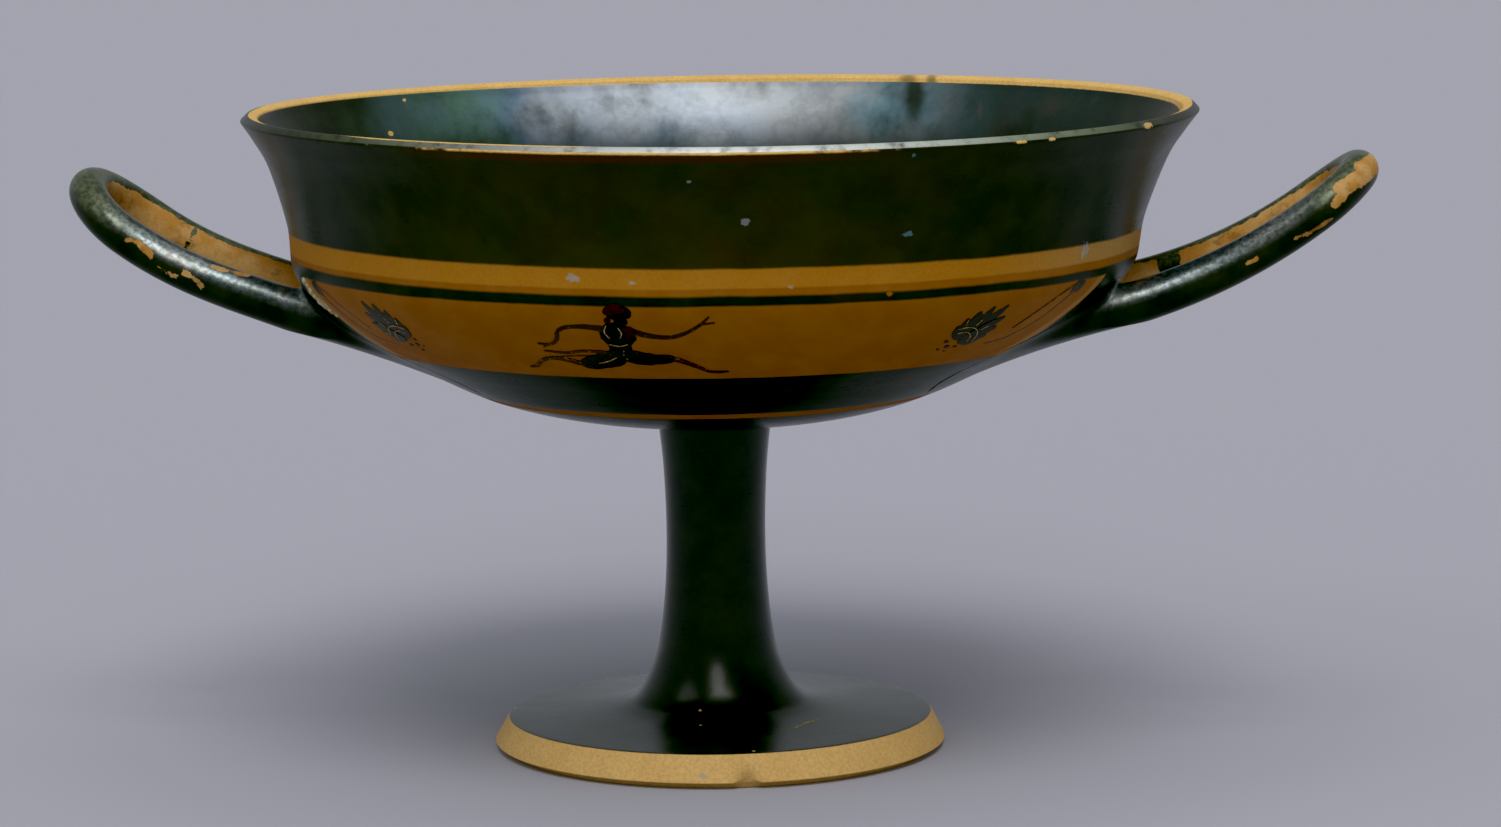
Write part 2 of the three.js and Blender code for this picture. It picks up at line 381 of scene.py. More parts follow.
# A reserved round in the middle of the bowl, with a ring and a dot on it.
off_middle = (x * x + y * y).power(0.5) * z.rise(90, 85)
tondo = off_middle.rise(15.2, 14.9) * off_middle.rise(0, 0.01) * along.rise(run_in(90), run_in(80))
tondo = tondo * (1 - off_middle.rise(9.9, 10.2) * off_middle.rise(12.1, 11.8)) * off_middle.rise(2.0, 2.3)
bare = bare.most(tondo)
FLAKES = [  # small places where slip or clay has come away: middle, half sizes
    ((-80.3, 51.8, 132.2), (0.8, 0.8, 0.7)), ((-78.3, 61.3, 139.3), (0.5, 0.5, 0.4)),
    ((2.7, -104, 135.8), (0.35, 0.6, 0.35)), ((-2.7, -18.8, 11.1), (0.4, 0.4, 0.3)),
    ((11.2, -43.8, 7.4), (0.35, 0.35, 0.3)), ((-1.9, -25.4, 9.1), (0.3, 0.3, 0.3)),
    ((42.9, -82.5, 110.4), (0.7, 0.7, 0.45)), ((95.4, -46.6, 141.5), (1.3, 2.3, 0.7)),
    ((75.9, -73.8, 141.0), (1.0, 1.0, 0.4)), ((69.8, -79.5, 140.9), (1.8, 1.6, 0.35)),
]
bare = bare.most(body_finish.blobs(FLAKES, crumbs * 0.6))
DUSTY = [  # blue-grey marks on the band, the lip and the foot
    ((0.8, -49.2, 3.1), (1.0, 1.0, 0.55)), ((-20.5, -91.2, 114.6), (1.2, 1.1, 0.8)),
    ((-8.3, -93, 113.8), (0.7, 0.9, 0.35)), ((23.5, -90.2, 112.7), (0.5, 0.6, 0.4)),
    ((15, -95.6, 126.4), (0.9, 1, 0.7)), ((46.8, -83.4, 122.7), (1.1, 1.2, 0.5)),
    ((48.5, -92.4, 139.4), (0.4, 0.5, 0.4)), ((4.2, -100.6, 134.9), (0.4, 0.6, 0.4)),
    ((81.9, -45.3, 115.4), (1.2, 1.4, 1.6)),
]
dusty = body_finish.blobs(DUSTY, crumbs)
# Clay is paler on the rim, the foot, over the offset and along the joints of the handles, and redder low
# on the bowl. A dark stain crosses the far rim.
joint_line = near_handle * (beside - 40).size().rise(2.8, 0.7)
joint_line = joint_line * (z - 109.4).rise(0.2, -0.2) * (z - 92).rise(0, 0.4)
upper = drawn.rise(run_out(112.2), run_out(112.8))
lower = along.rise(run_out(104), run_out(93)) * upper.rise(0.9, 0.1)
clay = body_finish.mix(upper * 0.75 * along.rise(run_out(118), run_out(117)), CLAY, (0.535, 0.245, 0.026))
clay = body_finish.mix(lower * 0.5, clay, (0.26, 0.082, 0.009))
clay = body_finish.mix(along.rise(run_out(STEM_TOP), run_at(40, 8)), clay, (0.80, 0.52, 0.19))
clay = body_finish.mix(along.rise(crest_run - 2.4, crest_run - 1.8), clay, (0.90, 0.58, 0.19))
RIM_STAIN = [((37.6, 93, 141), (2.0, 5, 3)), ((43.4, 90.5, 141), (1.2, 5, 3))]
clay = body_finish.mix(body_finish.blobs(RIM_STAIN, crumbs * 0.3, 0.6) * 0.75, clay, (0.13, 0.12, 0.05))
clay = body_finish.mix(x.rise(62, 92) * y.rise(0, -30) * upper * 0.5, clay, (0.46, 0.35, 0.15))
clay = body_finish.mix(joint_line * 0.7, clay, (0.50, 0.27, 0.075))
clay = body_finish.mix(dusty * 0.75, clay, (0.42, 0.40, 0.34))
# A silvery film on the slip, partly painted reflection: it is laid on the back of the inside, where the
# light is reflected, from teal at the left to blue at the right, where the stain breaks it. On the outer
# slope of the rim in front a painted highlight lies, silver in the middle and olive at the ends.
veins = (body_finish.noise(15, 4, 0.65) - 0.5).size().rise(0.0, 0.07)
mottle = body_finish.noise(16, 5, 0.6).rise(0.12, 0.58) * (0.86 + veins * 0.14)
low_down = (along - run_in(136)).rise(1, 15)
film_and_painted_reflection = (1 - low_down * 0.88) * along.rise(run_at(0, 78.1), run_in(118)) * along.rise(crest_run, band_run)
film_and_painted_reflection = film_and_painted_reflection * y.rise(22, 74) * x.rise(-106, -58) * (0.13 + x.rise(62, 28) * 0.87)
stain = body_finish.blob((39.4, 90, 138.5), (2.2, 16, 7), fine * 0.6, 0.6)
film_and_painted_reflection = film_and_painted_reflection * mottle * (1 - x.rise(-20, 30) * 0.28) * (1 - 0.85 * stain) + dusty * 0.45
# Painted highlight on the outer slope of the rim in front, where it faces the light.
painted_rim_highlight = between(arris_run + 0.3, crest_run, along) * y.rise(-20, -70) * x.rise(-105, 15) * x.rise(125, 55)
painted_rim_highlight = painted_rim_highlight * body_finish.noise(3, 3).rise(0.1, 0.55) * 0.9
hue = 0.1 + x.rise(-70, -42) * 0.38 + x.rise(-35, 10) * 0.12 + x.rise(12, 30) * 0.26
hue = hue + (body_finish.noise(18, 3) - 0.5) * 0.6 - low_down * 0.15
# Slip is browner where it lies thin: here and there, along the worn arris and in two streaks inside. On
# the front of the lip it is browner and more olive, partly thin slip and partly painted light where the lip
# faces the light.
thin = body_finish.noise(20, 3).rise(0.55, 0.8) * 0.2
lip_front_brown_and_lit = between(run_out(116), run_out(141), along, 1) * y.rise(-20, -80) * (x - 5).size().rise(92, 20)
thin = thin + lip_front_brown_and_lit * body_finish.noise(11, 4, 0.6).rise(0.2, 0.7) * 0.2
rusty = between(arris_run - 2.4, arris_run + 0.4, along + fine * 2, 0.5) * worn_front
streaks = body_finish.blob((55.5, 80.8, 134.5), (0.5, 2, 3.6), crumbs * 0.3, 0.5)
streaks = streaks.most(body_finish.blob((71.5, 67, 137.5), (3.2, 4, 2.6), crumbs * 0.8, 0.8) * 0.5)
thin = thin.most(rusty * 0.75).most(streaks * 0.6)
# Olive in patches, and on the front of the lip, where it is partly painted light.
slip = body_finish.mix(body_finish.noise(9, 4, 0.6).rise(0.3, 0.75) * 0.4 + lip_front_brown_and_lit * 0.5, SLIP, SLIP_OLIVE)
slip = body_finish.mix(thin, slip, SLIP_BROWN)
# The film's colours are painted reflection: teal, blue and silver along the hue.
iridescent_reflection = body_finish.node("ShaderNodeValToRGB", {"stops": [
    (0.0, (0.12, 0.17, 0.11)), (0.12, (0.16, 0.28, 0.23)), (0.30, (0.19, 0.29, 0.38)),
    (0.46, (0.44, 0.50, 0.58)), (0.68, (0.48, 0.51, 0.53)), (0.86, (0.24, 0.40, 0.48))]}, {0: hue})
slip = body_finish.mix(film_and_painted_reflection, slip, iridescent_reflection)
# Colour of the painted highlight on the rim: silver in the middle, olive towards the ends.
rim_highlight_colour = body_finish.mix((x - 5).size().rise(25, 85), (0.64, 0.67, 0.64), (0.34, 0.40, 0.26))
slip = body_finish.mix(painted_rim_highlight, slip, rim_highlight_colour)
film_and_painted_reflection = film_and_painted_reflection.most(painted_rim_highlight)
low_gloss = along.rise(run_out(84), run_out(76)) * 0.45
body_mesh.materials.append(fired(body_finish, bare, clay, slip, film_and_painted_reflection * 0.75, film_and_painted_reflection * 0.28, 0.13, low_gloss))


# The two handles, rolled and pulled by hand, bent to a loop and luted under the lip so that they rise
# towards the tip. Slip covers them but for the inner faces, which stay bare. Their silvery tops are a
# painted highlight, laid on the faces that point up.
HANDLES = {
    "right": dict(side=1, tip=140.7, arch=130.5, spread=15.6, splay=8, root=97.5, skew=0.2,
                  rise=(11.9, 10.2, 8.6)),
    "left": dict(side=-1, tip=139.4, arch=128.5, spread=16.6, splay=8, root=94.6, skew=-2.2,
                 rise=(26.6, -25.9, 29.5)),
}
HANDLE_RADIUS, HANDLE_START, HANDLE_ROOT, ROOT_RISE = 4.2, 58, 76, 0.1
# How far a root is worked along the limb and out over the bowl, how much further below, and how deep in.
FLARE, SPREAD_OUT, BELOW, SUNK = 5, 5.5, 20, 1.8
STATIONS, SIDES, TUBE_ROWS, FLARE_ROWS = 360, 48, 260, 14
# Where slip has flaked off: from and to along the handle from its tip, from and to in degrees round it,
# half its width, and how much it bows.
SCARS = {
    "right": [(-18.4, -14.5, 178, 164, 1.3, 0), (-15.5, -8, 158, 156, 2.3, 0), (-9, 1.5, 148, 156, 2.7, 0),
              (60.5, 64.5, 28, 28, 2.0, 0), (-28.6, -20.5, 202, 219, 0.5, 3), (-40, -38, 193, 194, 0.4, 0)],
    "left": [(-26.6, -28.6, 172, 160, 0.6, 0), (-28.8, -32.4, 163, 174, 1.1, 0),
             (-35, -39.4, 192, 198, 0.35, 4), (-41.4, -46, 177, 192, 0.6, -5),
             (-46.6, -54.4, 122, 104, 0.8, 4)],
}
GAPS = {"right": [(56.3, 2.6), (-58, 3.0)], "left": [(32.8, 0.35)]}  # slip right across the bare strip
handle_finish = Finish("handle_slip")
ragged = (handle_finish.noise(3.2, 5, 0.7) - 0.5) * 3.4
handle_bare = (handle_finish.attribute("bare") + ragged).rise(-0.1, 0.1)
# Painted highlight: a silvery metallic sheen on the faces that point up, away from the roots, weaker and
# olive where dull, on the far limb and at the tips.
outward = handle_finish.node("ShaderNodeNewGeometry", {}, {}, 1)
upper_side = handle_finish.node("ShaderNodeSeparateXYZ", {}, {0: outward}, 2)
out_there, over_there = (handle_finish.node("ShaderNodeSeparateXYZ", {}, {0: handle_finish.place}, k) * 1000
                         for k in range(2))
dull = out_there.size().rise(122, 136).most(over_there.rise(0, 12))
away_from_roots = out_there.size().rise(80, 92)
handle_painted_highlight = upper_side.rise(0.0, 0.7) * away_from_roots
handle_painted_highlight = handle_painted_highlight * (0.2 + handle_finish.noise(1.3, 4, 0.7).rise(0.35, 0.7) * 0.38)
handle_painted_highlight_metal = upper_side.rise(-0.1, 0.45) * (1 - dull * 0.6) * away_from_roots * 0.85
cloudy = handle_finish.noise(6, 4).rise(0.35, 0.65)
smeared = handle_finish.noise(8, 5, 0.65).rise(0.56, 0.68) * 0.65
handle_clay = handle_finish.mix(cloudy, CLAY_PALE, (0.48, 0.23, 0.05))
handle_clay = handle_finish.mix(smeared, handle_clay, (0.14, 0.07, 0.02))
handle_slip = handle_finish.mix(handle_finish.noise(9, 4, 0.6).rise(0.3, 0.75) * 0.5, SLIP, SLIP_OLIVE)
handle_slip = handle_finish.mix(handle_finish.noise(20, 3).rise(0.6, 0.8) * 0.2, handle_slip, SLIP_BROWN)
drifting = handle_finish.noise(14, 3).rise(0.35, 0.65)
# Colour of the painted highlight on the handles.
handle_highlight_colour = handle_finish.mix(drifting, (0.40, 0.49, 0.52), (0.64, 0.66, 0.66))
handle_highlight_colour = handle_finish.mix(dull, handle_highlight_colour, (0.27, 0.31, 0.19))
handle_slip = handle_finish.mix(handle_painted_highlight, handle_slip, handle_highlight_colour)
handle_material = fired(handle_finish, handle_bare, handle_clay, handle_slip, handle_painted_highlight_metal, 0, 0.16)


def middle_line(side, tip, arch, spread, splay, root, skew, rise):
    """Evenly spaced points along the middle of a handle, from the near root round the tip to the far one."""
    t = np.linspace(0, 1, 4001)
    straight = arch - HANDLE_START
    curved = math.pi / 2 * math.hypot(tip - arch, spread) / math.sqrt(2)
    walked = (1 - np.abs(2 * t - 1)) * (straight + curved)
    angle = np.maximum(0, walked - straight) / curved * math.pi / 2
    out = np.minimum(HANDLE_START + walked, arch) + (tip - arch) * np.sin(angle)
    part = np.maximum(0, out - HANDLE_ROOT) / (tip - HANDLE_ROOT)
    across = (spread * np.cos(angle) + splay * (1 - part) ** 2) * np.sign(t - 0.5)
    height = root + np.where(t > 0.5, skew * (1 - part) ** 2, 0)
    height = height + np.maximum(0, HANDLE_ROOT - out) * ROOT_RISE
    height = height + sum(term * part ** (k + 1) for k, term in enumerate(rise))
    line = np.stack([side * out, across, height], 1)
    walked = np.r_[0, np.cumsum(np.linalg.norm(np.diff(line, axis=0), axis=1))]
    even = np.linspace(0, walked[-1], STATIONS)
    return np.stack([np.interp(even, walked, line[:, k]) for k in range(3)], 1), even - walked[-1] / 2


def unit(vectors):
    return vectors / np.linalg.norm(vectors, axis=-1, keepdims=True)


def off_bowl(points):
    """How far points stand off the outside of the bowl and lip, negative within the clay."""
    aside, tilt = lean(points[:, 2])
    flat = np.stack([np.hypot(points[:, 0] - aside, points[:, 1]), points[:, 2] - tilt * points[:, 0]], 1)
    start, step = outside[60:-1], np.diff(outside[60:], axis=0)
    part = np.clip(((flat[:, None] - start) * step).sum(2) / (step ** 2).sum(1), 0, 1)
    gap = flat[:, None] - start - part[..., None] * step
    k = np.argmin((gap ** 2).sum(2), 1)
    gap, step = gap[np.arange(len(flat)), k], step[k]
    return np.linalg.norm(gap, axis=1) * np.sign(gap[:, 0] * step[:, 1] - gap[:, 1] * step[:, 0])


def out_of_bowl(points):
    """The way square out of the bowl at these points."""
    steps = np.eye(3) * 0.02
    return unit(np.stack([off_bowl(points + s) - off_bowl(points - s) for s in steps], 1))


def slide(rings, walked, places):
    """Where each side of a handle is, at its own places along it."""
    return np.stack([[np.interp(places[..., j], walked, rings[:, j, c]) for c in range(3)]
                     for j in range(SIDES)])


def root(rings, line, walked, limb):
    """Where a limb starts to flare, and its rows from there out over the bowl and down into its wall."""
    order = np.flatnonzero(walked * limb >= 0)[::limb]
    depth = off_bowl(rings[order].reshape(-1, 3)).reshape(len(order), SIDES)
    starts, rows = np.empty(SIDES), np.empty((FLARE_ROWS + 2, SIDES, 3))
    meets, away = np.empty((SIDES, 3)), np.empty((SIDES, 3))
    below = np.clip(-np.sin(np.arange(SIDES) / SIDES * 2 * math.pi), 0, 1) ** 2 * BELOW
    for j in range(SIDES):
        k = int(np.argmax(depth[:, j] < 0))
        part = depth[k - 1, j] / (depth[k - 1, j] - depth[k, j])
        one, two = order[k - 1], order[k]
        meets[j] = rings[one, j] + part * (rings[two, j] - rings[one, j])
        away[j] = meets[j] - line[one] - part * (line[two] - line[one])
        starts[j] = abs(walked[one] + part * (walked[two] - walked[one])) - FLARE - below[j]
    square = out_of_bowl(meets)
    away = unit(away - (away * square).sum(1)[:, None] * square)
    above = np.clip(np.sin(np.arange(SIDES) / SIDES * 2 * math.pi), 0, 1)
    edge = meets + away * (SPREAD_OUT + below - 2.8 * above)[:, None]
    for _ in range(3):
        edge -= (off_bowl(edge) - 0.03)[:, None] * out_of_bowl(edge)
    begin = slide(rings, walked, starts * limb)
    for row in range(FLARE_ROWS):
        w = (row + 1) / FLARE_ROWS
        rows[row] = (1 - w) ** 2 * begin + 2 * w * (1 - w) * meets + w * w * edge
    square = out_of_bowl(edge)
    rows[-2], rows[-1] = edge - square * 0.4, edge - square * SUNK
    return starts, rows


for name, sizes in HANDLES.items():
    line, walked = middle_line(**sizes)
    tangent = unit(np.gradient(line, axis=0))
    hub_out = sizes["side"] * np.minimum(np.abs(line[:, 0]), sizes["arch"])
    hub = np.stack([hub_out, 0 * walked, line[:, 2]], 1)
    inward = hub - line
    inward = unit(inward - (inward * tangent).sum(1)[:, None] * tangent)
    upward = np.cross(tangent, inward)
    upward *= np.sign(upward[:, 2])[:, None]
    out = np.maximum(0, np.abs(line[:, 0]) - HANDLE_ROOT) / (sizes["tip"] - HANDLE_ROOT)
    thick = HANDLE_RADIUS * (1 + 0.12 * (1 - out) + 0.22 * np.exp(-out / 0.1))
    turns = np.arange(SIDES) / SIDES * 2 * math.pi
    rings = line[:, None] + thick[:, None, None] * (
        np.cos(turns)[:, None] * inward[:, None] + np.sin(turns)[:, None] * upward[:, None])
    near_start, near_rows = root(rings, line, walked, -1)
    far_start, far_rows = root(rings, line, walked, 1)
    places = np.linspace(-near_start, far_start, TUBE_ROWS)
    points = np.concatenate([near_rows[::-1], slide(rings, walked, places).transpose(2, 0, 1), far_rows])
    steps = np.linalg.norm(np.diff(points, axis=0), axis=2)
    before, after = steps[:len(near_rows)][::-1], steps[-len(far_rows):]
    walked = np.vstack([(-near_start - np.cumsum(before, axis=0))[::-1], places,
                        far_start + np.cumsum(after, axis=0)])
    angle = np.degrees(turns)
    angle = np.where(angle > 180, angle - 360, angle)
    round_it = np.radians(1) * HANDLE_RADIUS * 1.15
    far_limb = np.clip((walked - 10) / 16, 0, 1)
    half_round, middle_round = 43 + 9 * far_limb, 14 * far_limb - 7
    strip = (half_round - np.abs(angle - middle_round)) * round_it - 2.0 * np.exp(-(walked / 11) ** 2)
    for start, end, low, high, wide, bow in SCARS[name]:
        run_along = (walked - start) / (end - start)
        middle = low + (high - low) * run_along + bow * np.sin(math.pi * np.clip(run_along, 0, 1))
        over = np.abs((angle - middle + 180) % 360 - 180) * round_it
        past = np.maximum(0, np.abs(run_along - 0.5) - 0.5) * abs(end - start)
        strip = np.maximum(strip, wide - np.hypot(over, past))
    for place, wide in GAPS[name]:
        strip = np.minimum(strip, np.abs(walked - place) - wide)
    rows = len(points)
    mesh = bmesh.new()
    bare_layer = mesh.verts.layers.float.new("bare")
    bmesh.ops.create_grid(mesh, x_segments=rows - 1, y_segments=SIDES, size=1)
    for spot in mesh.verts:
        k, j = round((spot.co.x + 1) / 2 * (rows - 1)), round((spot.co.y + 1) / 2 * SIDES) % SIDES
        spot.co = Vector(points[k, j]) * MM
        spot[bare_layer] = strip[k, j]
    bmesh.ops.remove_doubles(mesh, verts=mesh.verts[:], dist=1e-6)
    bmesh.ops.holes_fill(mesh, edges=[e for e in mesh.edges if e.is_boundary], sides=0)
    bmesh.ops.recalc_face_normals(mesh, faces=mesh.faces[:])
    handle_mesh = bpy.data.meshes.new("handle_" + name)
    mesh.to_mesh(handle_mesh)
    mesh.free()
    handle_mesh.shade_smooth()
    handle_mesh.materials.append(handle_material)
    handle = bpy.data.objects.new("handle_" + name, handle_mesh)
    bpy.context.collection.objects.link(handle)
    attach(handle, "root")
    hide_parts("kylix_cup")


# The painted band: on each side a running figure with red hair and breast, and by every handle root a
# palmette and a tendril with a bud. All are brush strokes of slip, thin and brown in the limbs, with lines
# scratched through to the clay in front.
def on_cup(azimuth, far, lift):
    """Points on the outside of the cup, by azimuth in radians and millimetres along its profile."""
    radius, height = (np.interp(far, run, profile[:, k]) for k in (0, 1))
    step_out, step_up = (np.interp(far + 0.3, run, profile[:, k]) - np.interp(far - 0.3, run, profile[:, k])
                         for k in (0, 1))
    long = np.hypot(step_out, step_up)
    radius, height = radius + lift * step_up / long, height - lift * step_out / long
    return np.stack(set_off_true(radius * np.cos(azimuth), radius * np.sin(azimuth), height), -1)


PAINT = 0.1  # how thick the painted slip is


class Brush:
    """Strokes laid on the cup about one place, then made into one thin solid."""

    def __init__(self, azimuth, height, turn=0.0, side=1):
        self.azimuth, self.far, self.side = math.radians(azimuth), run_out(height), side
        self.girth = np.interp(self.far, run, profile[:, 0])
        self.cos, self.sin = math.cos(math.radians(turn)), math.sin(math.radians(turn))
        self.mesh = bmesh.new()
        self.thin = self.mesh.verts.layers.float.new("thin")
        self.count = 0

    def stroke(self, points, lift=0.05, thin=0.0):
        """A stroke through points that are millimetres right and up, and half its width there."""
        path = spline(points, 12 * (len(points) - 1))
        walked = np.r_[0, np.cumsum(np.hypot(*np.diff(path[:, :2], axis=0).T))]
        rows = max(6, int(walked[-1] / 0.3))
        even = walked[-1] * (1 - np.cos(np.linspace(0, math.pi, rows))) / 2
        right, up, half = (np.interp(even, walked, path[:, k]) for k in range(3))
        ahead = np.stack([np.gradient(right), np.gradient(up)], 1)
        ahead /= np.linalg.norm(ahead, axis=1)[:, None] + 1e-9
        near_end = np.clip(np.minimum(even, walked[-1] - even) / np.maximum(half, 0.05), 0, 1)
        half = half * np.sqrt(1 - (1 - near_end) ** 2).clip(0.08, 1)
        waver = [noise.noise(Vector((right[k] * 0.9, up[k] * 0.9, self.azimuth * 9))) for k in range(rows)]
        half = half * (1 + 0.16 * np.array(waver))
        made = bmesh.ops.create_grid(self.mesh, x_segments=rows - 1, y_segments=4, size=1)
        for spot in made["verts"]:
            k = round((spot.co.x + 1) / 2 * (rows - 1))
            across = spot.co.y * half[k]
            beside, above = right[k] - ahead[k, 1] * across, up[k] + ahead[k, 0] * across
            round_cup = self.side * (self.cos * beside + self.sin * above) / self.girth
            up_cup = self.cos * above - self.sin * beside
            layer = lift + 0.004 * (self.count % 9)
            spot.co = Vector(on_cup(self.azimuth + round_cup, self.far + up_cup, layer)) * MM
            spot[self.thin] = thin
        self.count += 1

    def done(self, name, slot, material):
        bmesh.ops.recalc_face_normals(self.mesh, faces=self.mesh.faces[:])
        bmesh.ops.solidify(self.mesh, geom=self.mesh.faces[:], thickness=PAINT * MM)
        bmesh.ops.recalc_face_normals(self.mesh, faces=self.mesh.faces[:])
        painted = bpy.data.meshes.new(name)
        self.mesh.to_mesh(painted)
        self.mesh.free()
        painted.materials.append(material)
        piece = bpy.data.objects.new(name, painted)
        bpy.context.collection.objects.link(piece)
        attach(piece, "root")
        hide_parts("kylix_cup")


paint = Finish("brushed_slip")
paint_thin = paint.attribute("thin") * (0.6 + paint.noise(2.2, 3).rise(0.3, 0.7) * 0.6)
rubbed = (paint.noise(1.5, 4, 0.7) + paint_thin * 0.12).rise(0.66, 0.72)
painted_slip = paint.mix((paint_thin + 0.1).least(1), SLIP, SLIP_BROWN)
figure_slip = fired(paint, rubbed, CLAY, painted_slip, 0, 0, 0.12)

red_finish = Finish("added_red")
worn_red = red_finish.noise(0.9, 3).rise(0.4, 0.7)
red_earth = red_finish.mix(worn_red, (0.055, 0.006, 0.004), (0.018, 0.006, 0.004))
added_red = red_finish.done(red_finish.node("ShaderNodeBsdfPrincipled", {}, {
    "Base Color": red_earth, "Roughness": 0.7, "Specular IOR Level": 0.2}))

line_finish = Finish("scratched_clay")
cut_clean = line_finish.noise(0.8, 3).rise(0.3, 0.7)
scratched = line_finish.done(line_finish.node("ShaderNodeBsdfPrincipled", {}, {
    "Base Color": line_finish.mix(cut_clean, (0.30, 0.16, 0.05), (0.62, 0.46, 0.24)),
    "Roughness": 0.8, "Specular IOR Level": 0.1}))

BODY_STROKES = [  # right, up, half width; then how thin the slip lies
    ([(1, 8, 1.5), (0.5, 6.4, 3.6), (0.3, 3.6, 3.8), (0.2, 0.6, 2.6), (0.4, -2.6, 2.7)], 0.0),
    ([(0.8, -1.6, 2.4), (-2.8, -4.4, 3.0), (-7.2, -6.1, 2.7), (-10.2, -6.4, 1.4)], 0.05),
    ([(0.2, -1.8, 2.2), (3.8, -3.8, 2.5), (8, -4.2, 2.0), (11.4, -3.6, 1.2)], 0.05),
    ([(1.2, 7, 1.4), (1.4, 9.6, 1.4)], 0.1),
    ([(-1.3, 9.6, 1.0), (0.2, 10.3, 2.3), (2.1, 10.2, 1.9), (3.3, 9.5, 0.9)], 0.0),
]
LIMB_STROKES = [
    ([(-9.6, -6.6, 1.0), (-13.6, -4.6, 0.85), (-17.6, -4.9, 0.6), (-20.4, -7.2, 0.45)], 0.55),
    ([(-20.2, -6.8, 0.4), (-21.4, -8.3, 0.5), (-23.4, -8.9, 0.35)], 0.6),
    ([(11, -3.8, 0.9), (14.2, -5.9, 0.75), (17.3, -8.4, 0.5), (18.4, -9.6, 0.4)], 0.5),
    ([(18.2, -9.4, 0.45), (20.6, -9.8, 0.5), (23, -9.5, 0.3)], 0.6),
    ([(-2, 6, 1.1), (-6, 6.7, 0.75), (-10, 6.4, 0.55), (-12.2, 5, 0.5)], 0.45),
    ([(-12.2, 5, 0.5), (-12.8, 2.6, 0.45), (-14.6, 0.8, 0.4), (-17.6, 0.9, 0.25)], 0.6),
    ([(-14.6, 0.9, 0.3), (-16.6, -0.3, 0.22)], 0.7),
    ([(2.4, 5.9, 1.1), (6.4, 4.2, 0.8), (10.6, 3.7, 0.6), (14, 5.2, 0.5), (17, 7.9, 0.4)], 0.45),
    ([(16.6, 7.6, 0.35), (19.4, 8.0, 0.25)], 0.65),
    ([(16.8, 7.8, 0.35), (18.2, 9.7, 0.22)], 0.65),
    ([(-3, -1.6, 0.6), (-8, -1.3, 0.45), (-12, -2.2, 0.4), (-17, -1.6, 0.25)], 0.7),
    ([(-4, -3, 0.4), (-9, -3.2, 0.3), (-13.5, -3.7, 0.2)], 0.8),
]
RED_STROKES = [
    [(-1.9, 10.4, 0.7), (0.2, 11.5, 1.2), (2.4, 11.3, 0.6)],
    [(-1.2, 9.4, 0.8), (-1.4, 7.6, 0.5)],
    [(2.0, 7.0, 1.0), (2.8, 5.0, 1.2), (2.2, 3, 0.5)],
]
LINE_STROKES = [
    [(-1.7, 7.2, 0.08), (-2.3, 5.2, 0.1), (-1.5, 3.2, 0.08)],
    [(0.6, 6.6, 0.08), (1.1, 4.8, 0.1), (0.6, 3.4, 0.07)],
    [(-1.9, 1.4, 0.07), (0.2, 0.8, 0.09), (2, 1.5, 0.07)],
    [(-1.2, -3.4, 0.07), (-3.4, -5.0, 0.1), (-5.6, -5.9, 0.07)],
    [(0.8, -0.8, 0.08), (0.5, -2.8, 0.1), (1.2, -4.4, 0.07)],
]
RUNNER_HEIGHT = 99.6
SLIP_LIFT, RED_LIFT, LINE_LIFT = 0.05, 0.1, 0.14  # millimetres off the clay
RUNNERS = {  # azimuth, which way it faces, its scratched lines
    "front": (-97.6, 1, LINE_STROKES), "back": (84, -1, []),
}
for name, (azimuth, side, scratches) in RUNNERS.items():
    figure = Brush(azimuth, RUNNER_HEIGHT, 0, side)
    for points, thin_there in BODY_STROKES + LIMB_STROKES:
        figure.stroke(points, SLIP_LIFT, thin_there)
    figure.done("runner_" + name, "figures", figure_slip)
    red = Brush(azimuth, RUNNER_HEIGHT, 0, side)
    for points in RED_STROKES:
        red.stroke(points, RED_LIFT)
    red.done("runner_red_" + name, "added_red", added_red)
    if scratches:
        lines = Brush(azimuth, RUNNER_HEIGHT, 0, side)
        for points in scratches:
            lines.stroke(points, LINE_LIFT)
        lines.done("runner_lines_" + name, "clay", scratched)

PALMETTES = {  # azimuth, height, lean, which way it faces
    "front_left": (-134.6, 99.2, -30, 1), "front_right": (-47.2, 98.8, 36, 1),
    "back_left": (134.6, 99.2, 30, 1), "back_right": (47.2, 98.8, -36, 1),
}
LEAVES, LEAF_SPREAD = 9, 62  # the leaves fan out this many degrees to each side
HEART_ARCS, ARC_DEGREES = (3.4, 5.0), [-60, -30, 0, 30, 60]
DABS = [  # what is left of the stalk: right, up, size
    (-2.2, -3, 0.7), (0.3, -3.8, 0.8), (2.4, -2.6, 0.55), (-0.8, -5.6, 0.45), (1.9, -5, 0.4),
]


def fanned(way, points, drop):
    """Stroke points given by how far out they are and half the width, along one way of a palmette."""
    return [(math.sin(way) * far, math.cos(way) * far - drop, wide) for far, wide in points]


